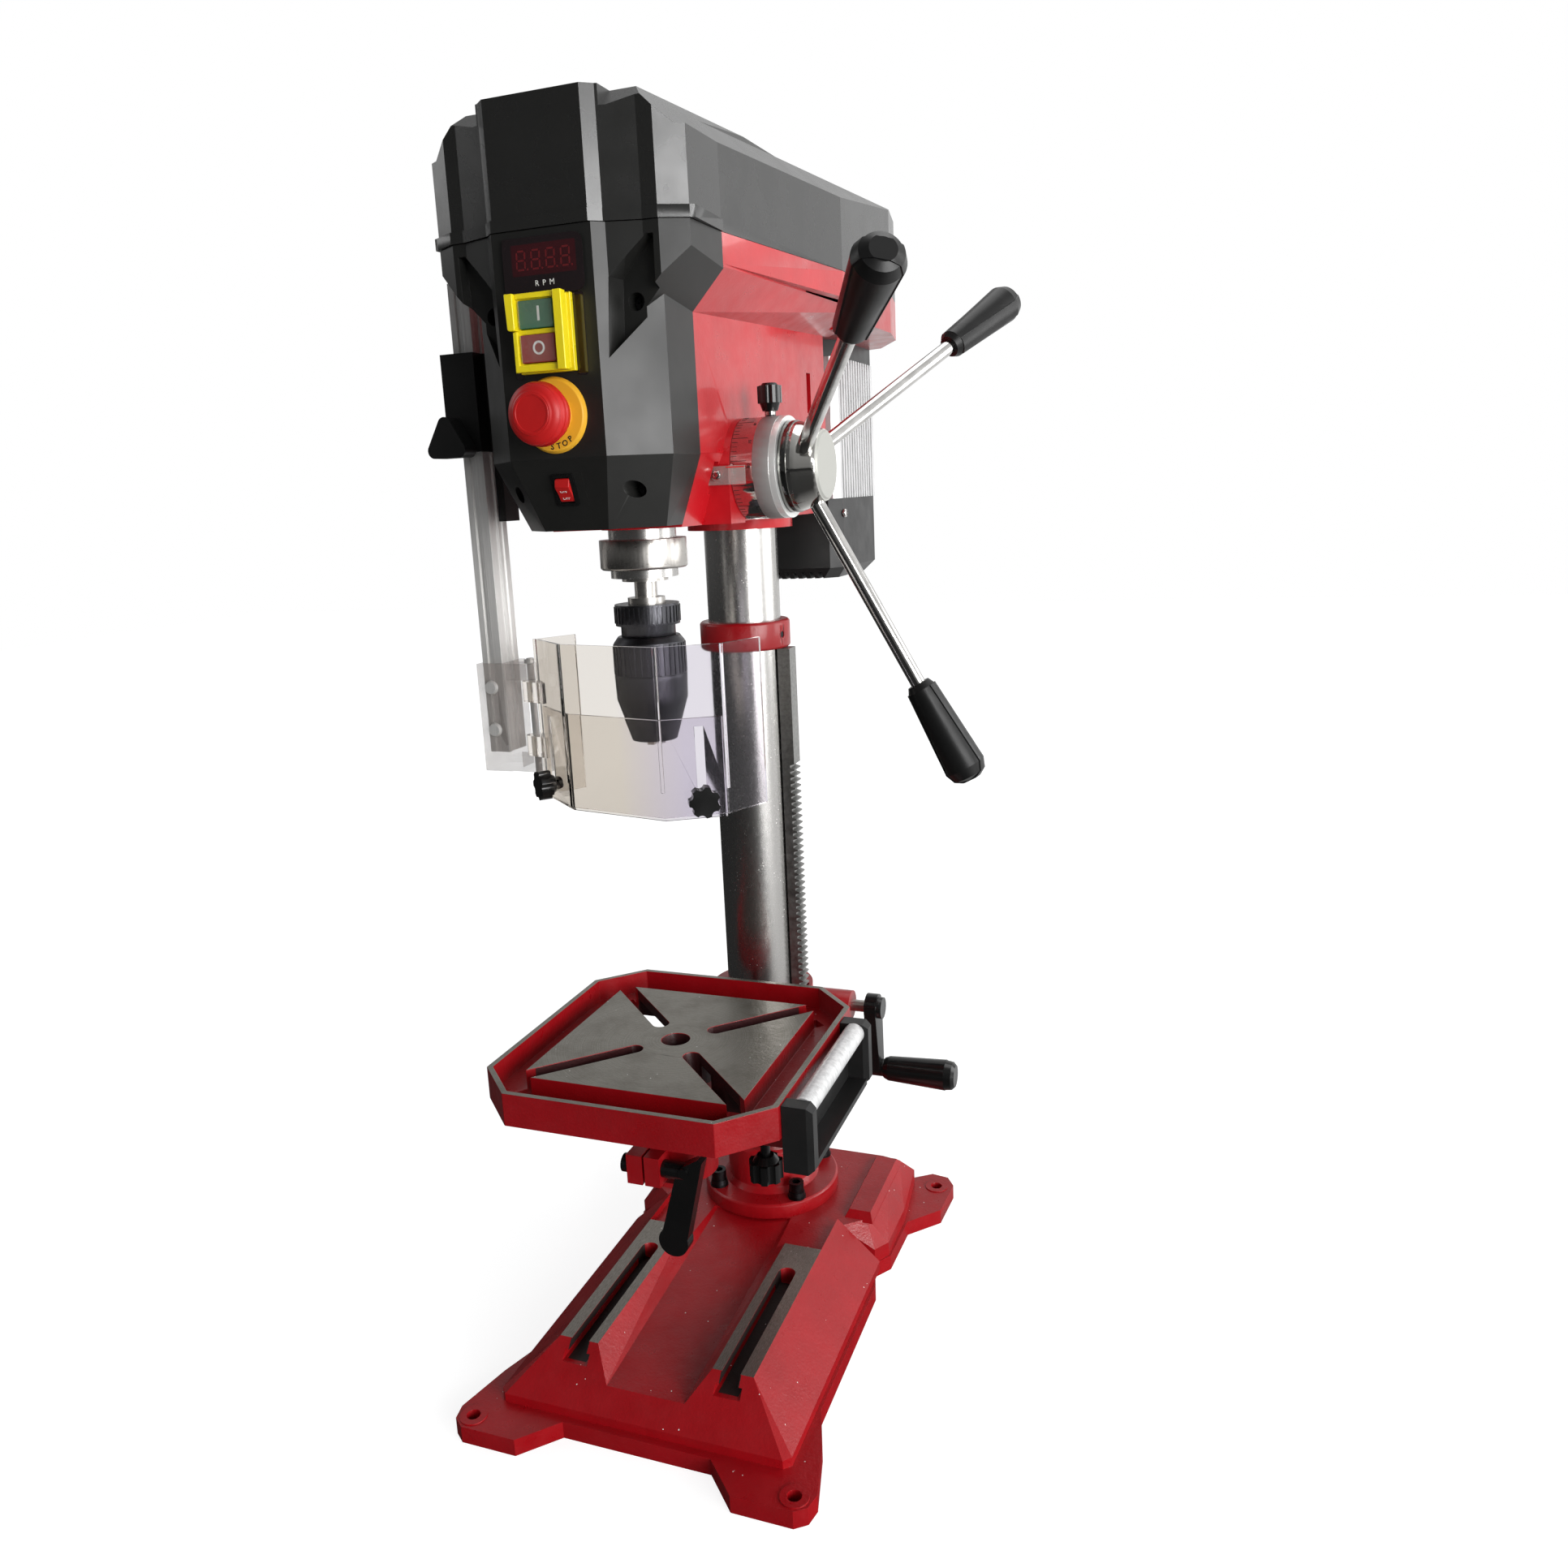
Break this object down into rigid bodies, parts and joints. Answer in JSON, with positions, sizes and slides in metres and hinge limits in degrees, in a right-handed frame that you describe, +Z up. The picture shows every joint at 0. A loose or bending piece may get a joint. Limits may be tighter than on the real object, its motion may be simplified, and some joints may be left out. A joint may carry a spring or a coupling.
{
  "type": "pillar drill",
  "caption": "Bench pillar drill with a red cast body, geared lifting table with side roller, three-spoke feed, belt cover, keyless chuck and clear chuck shield",
  "frame": {"origin": "centre of the column on the bench surface", "axes": "+X right, to the feed wheel's side; +Y back, from the spindle to the motor; +Z up, along the column"},
  "size_m": [0.4355, 0.6616, 1.041],
  "materials": {
    "cast_red": "gloss",
    "column_steel": "polished",
    "dark_steel": "blackened",
    "machined": "machined",
    "chrome": "polished",
    "black_moulding": "fine texture",
    "black_gloss": "gloss",
    "yellow": "gloss",
    "green": "gloss",
    "red_plastic": "gloss",
    "clear": "clear",
    "motor_alloy": "satin",
    "window": "gloss",
    "rubber_belt": "matte"
  },
  "bodies": {
    "stand": {"base": "cast_red", "column_flange": "cast_red", "flange_bolts": "dark_steel", "column": "column_steel", "rack_collar": "cast_red", "head_casting": "cast_red", "front_panel": "black_moulding", "display_window": "window", "switch_box": "yellow", "estop_base": "yellow", "rocker_bezel": "black_gloss", "head_screws": "machined", "motor_body": "motor_alloy", "motor_end_caps": "black_gloss", "pointer_plate": "clear", "return_spring_cap": "black_moulding", "rail_clamp": "black_moulding", "belt": "rubber_belt"},
    "rack_ring": {"rack": "machined"},
    "bracket": {"table_bracket": "cast_red"},
    "pinion": {"lift_pinion": "machined"},
    "crank": {"crank_shaft": "machined", "crank_arm": "black_gloss"},
    "crank_handle": {"crank_grip": "black_gloss"},
    "column_lock": {"column_lock_lever": "black_gloss"},
    "arm": {"table_arm": "cast_red"},
    "table_lock": {"table_clamp_lever": "black_gloss"},
    "table_top": {"table": "cast_red"},
    "extension": {"roller_frame": "black_moulding", "extension_rods": "chrome"},
    "roller_tube": {"roller": "chrome"},
    "extension_lock": {"roller_lock_knob": "black_gloss"},
    "cover": {"belt_cover": "black_moulding"},
    "start_button": {"green_button": "green"},
    "stop_button": {"red_button": "red_plastic"},
    "emergency_button": {"estop_mushroom": "red_plastic"},
    "light_switch": {"rocker": "red_plastic"},
    "motor_rotor": {"motor_pulley": "machined"},
    "drive_pulley": {"spindle_pulley": "machined"},
    "quill_sleeve": {"quill": "column_steel", "quill_collar": "machined", "quill_bearings": "machined"},
    "spindle_shaft": {"spindle": "machined", "chuck_body": "dark_steel", "chuck_jaws": "machined"},
    "chuck_ring": {"chuck_sleeve": "dark_steel"},
    "feed": {"feed_shaft": "machined", "feed_hub": "chrome", "feed_spokes": "chrome", "feed_grips": "black_gloss"},
    "depth_stop": {"depth_ring": "machined"},
    "depth_lock": {"depth_lock_knob": "black_gloss"},
    "rail": {"guard_rail": "motor_alloy", "hinge_bracket": "clear", "guard_screws": "chrome"},
    "rail_lock": {"wing_knob": "black_gloss"},
    "guard": {"shield": "clear"},
    "guard_slider": {"shield_slider": "clear"},
    "slider_lock_left": {"shield_knob_left": "black_gloss"},
    "slider_lock_right": {"shield_knob_right": "black_gloss"}
  },
  "joints": [
    {"name": "table_swing", "type": "hinge", "parent": "stand", "child": "rack_ring", "pos_m": [0, 0, 0.2], "axis": [0, 0, 1], "range_deg": [-180, 180]},
    {"name": "table_lift", "type": "slide", "parent": "rack_ring", "child": "bracket", "axis": [0, 0, 1], "range_m": [-0.055, 0.2]},
    {"name": "pinion_turn", "type": "hinge", "parent": "bracket", "child": "pinion", "pos_m": [0.058, 0, 0.232], "axis": [0, -1, 0], "range_deg": [-270, 960]},
    {"name": "crank_turn", "type": "hinge", "parent": "bracket", "child": "crank", "pos_m": [0.08, 0.026, 0.256], "axis": [1, 0, 0], "range_deg": [-5260, 19110]},
    {"name": "crank_grip_spin", "type": "hinge", "parent": "crank", "child": "crank_handle", "pos_m": [0.15, 0.026, 0.19], "axis": [1, 0, 0], "continuous": true},
    {"name": "column_lock", "type": "hinge", "parent": "bracket", "child": "column_lock", "pos_m": [0, 0.068, 0.234], "axis": [1, 0, 0], "range_deg": [0, 60]},
    {"name": "arm_tilt", "type": "hinge", "parent": "bracket", "child": "arm", "pos_m": [0, -0.07, 0.235], "axis": [0, 1, 0], "range_deg": [-45, 45]},
    {"name": "table_turn", "type": "hinge", "parent": "arm", "child": "table_top", "pos_m": [0, -0.2136, 0.28], "axis": [0, 0, 1], "range_deg": [-90, 30]},
    {"name": "table_lock", "type": "hinge", "parent": "arm", "child": "table_lock", "pos_m": [0, -0.2556, 0.216], "axis": [1, 0, 0], "range_deg": [-60, 10]},
    {"name": "roller_slide", "type": "slide", "parent": "table_top", "child": "extension", "axis": [1, 0, 0], "range_m": [0, 0.1]},
    {"name": "roller_spin", "type": "hinge", "parent": "extension", "child": "roller_tube", "pos_m": [0.143, -0.221, 0.31], "axis": [0, 1, 0], "continuous": true},
    {"name": "roller_lock", "type": "hinge", "parent": "table_top", "child": "extension_lock", "pos_m": [0.098, -0.262, 0.23], "axis": [0, 0, 1], "range_deg": [-120, 120]},
    {"name": "cover_open", "type": "hinge", "parent": "stand", "child": "cover", "pos_m": [0, 0.248, 0.957], "axis": [-1, 0, 0], "range_deg": [0, 80]},
    {"name": "start_press", "type": "slide", "parent": "stand", "child": "start_button", "axis": [0, 1, 0], "range_m": [0, 0.003], "stiffness_N_per_m": 600},
    {"name": "stop_press", "type": "slide", "parent": "stand", "child": "stop_button", "axis": [0, 1, 0], "range_m": [0, 0.003], "stiffness_N_per_m": 600},
    {"name": "emergency_press", "type": "slide", "parent": "stand", "child": "emergency_button", "axis": [0, 1, 0], "range_m": [0, 0.004]},
    {"name": "light_rock", "type": "hinge", "parent": "stand", "child": "light_switch", "pos_m": [0, -0.3309, 0.786], "axis": [1, 0, 0], "range_deg": [0, 12]},
    {"name": "motor_spin", "type": "hinge", "parent": "stand", "child": "motor_rotor", "pos_m": [0, 0.168, 0.9], "axis": [0, 0, 1], "continuous": true},
    {"name": "pulley_spin", "type": "hinge", "parent": "stand", "child": "drive_pulley", "pos_m": [0, -0.2136, 0.97], "axis": [0, 0, 1], "continuous": true},
    {"name": "quill_feed", "type": "slide", "parent": "stand", "child": "quill_sleeve", "axis": [0, 0, -1], "range_m": [0, 0.08], "stiffness_N_per_m": 600, "springref_m": -0.15},
    {"name": "spindle_spin", "type": "hinge", "parent": "quill_sleeve", "child": "spindle_shaft", "pos_m": [0, -0.2136, 0.7], "axis": [0, 0, 1], "continuous": true},
    {"name": "chuck_turn", "type": "hinge", "parent": "spindle_shaft", "child": "chuck_ring", "pos_m": [0, -0.2136, 0.63], "axis": [0, 0, 1], "range_deg": [-180, 180]},
    {"name": "feed_turn", "type": "hinge", "parent": "stand", "child": "feed", "pos_m": [0.1, -0.178, 0.796], "axis": [1, 0, 0], "range_deg": [0, 437]},
    {"name": "depth_turn", "type": "hinge", "parent": "feed", "child": "depth_stop", "pos_m": [0.1, -0.178, 0.796], "axis": [1, 0, 0], "range_deg": [-150, 150]},
    {"name": "depth_knob_turn", "type": "hinge", "parent": "depth_stop", "child": "depth_lock", "pos_m": [0.1, -0.178, 0.84], "axis": [0, 0, 1], "range_deg": [-180, 180]},
    {"name": "rail_slide", "type": "slide", "parent": "stand", "child": "rail", "axis": [0, 0, 1], "range_m": [-0.06, 0.05]},
    {"name": "rail_knob_turn", "type": "hinge", "parent": "stand", "child": "rail_lock", "pos_m": [-0.14295, -0.2413, 0.828], "axis": [0, -1, 0], "range_deg": [-180, 180]},
    {"name": "guard_swing", "type": "hinge", "parent": "rail", "child": "guard", "pos_m": [-0.104, -0.228, 0.6], "axis": [0, 0, -1], "range_deg": [0, 90]},
    {"name": "slider_lift", "type": "slide", "parent": "guard", "child": "guard_slider", "axis": [0, 0, 1], "range_m": [0, 0.045]},
    {"name": "slider_knob_left", "type": "hinge", "parent": "guard_slider", "child": "slider_lock_left", "pos_m": [-0.07288, -0.25796, 0.553], "axis": [-0.6508, -0.7593, 0], "range_deg": [-180, 180]},
    {"name": "slider_knob_right", "type": "hinge", "parent": "guard_slider", "child": "slider_lock_right", "pos_m": [0.0708, -0.285, 0.553], "axis": [0.5026, -0.8645, 0], "range_deg": [-180, 180]}
  ],
  "couplings": [
    {"joint": "crank_turn", "follows": "table_lift", "rad_per_m": 1666.7},
    {"joint": "pinion_turn", "follows": "table_lift", "rad_per_m": 83.333},
    {"joint": "feed_turn", "follows": "quill_feed", "rad_per_m": 95.238},
    {"joint": "spindle_spin", "follows": "motor_spin", "ratio": 1},
    {"joint": "pulley_spin", "follows": "motor_spin", "ratio": 1}
  ]
}
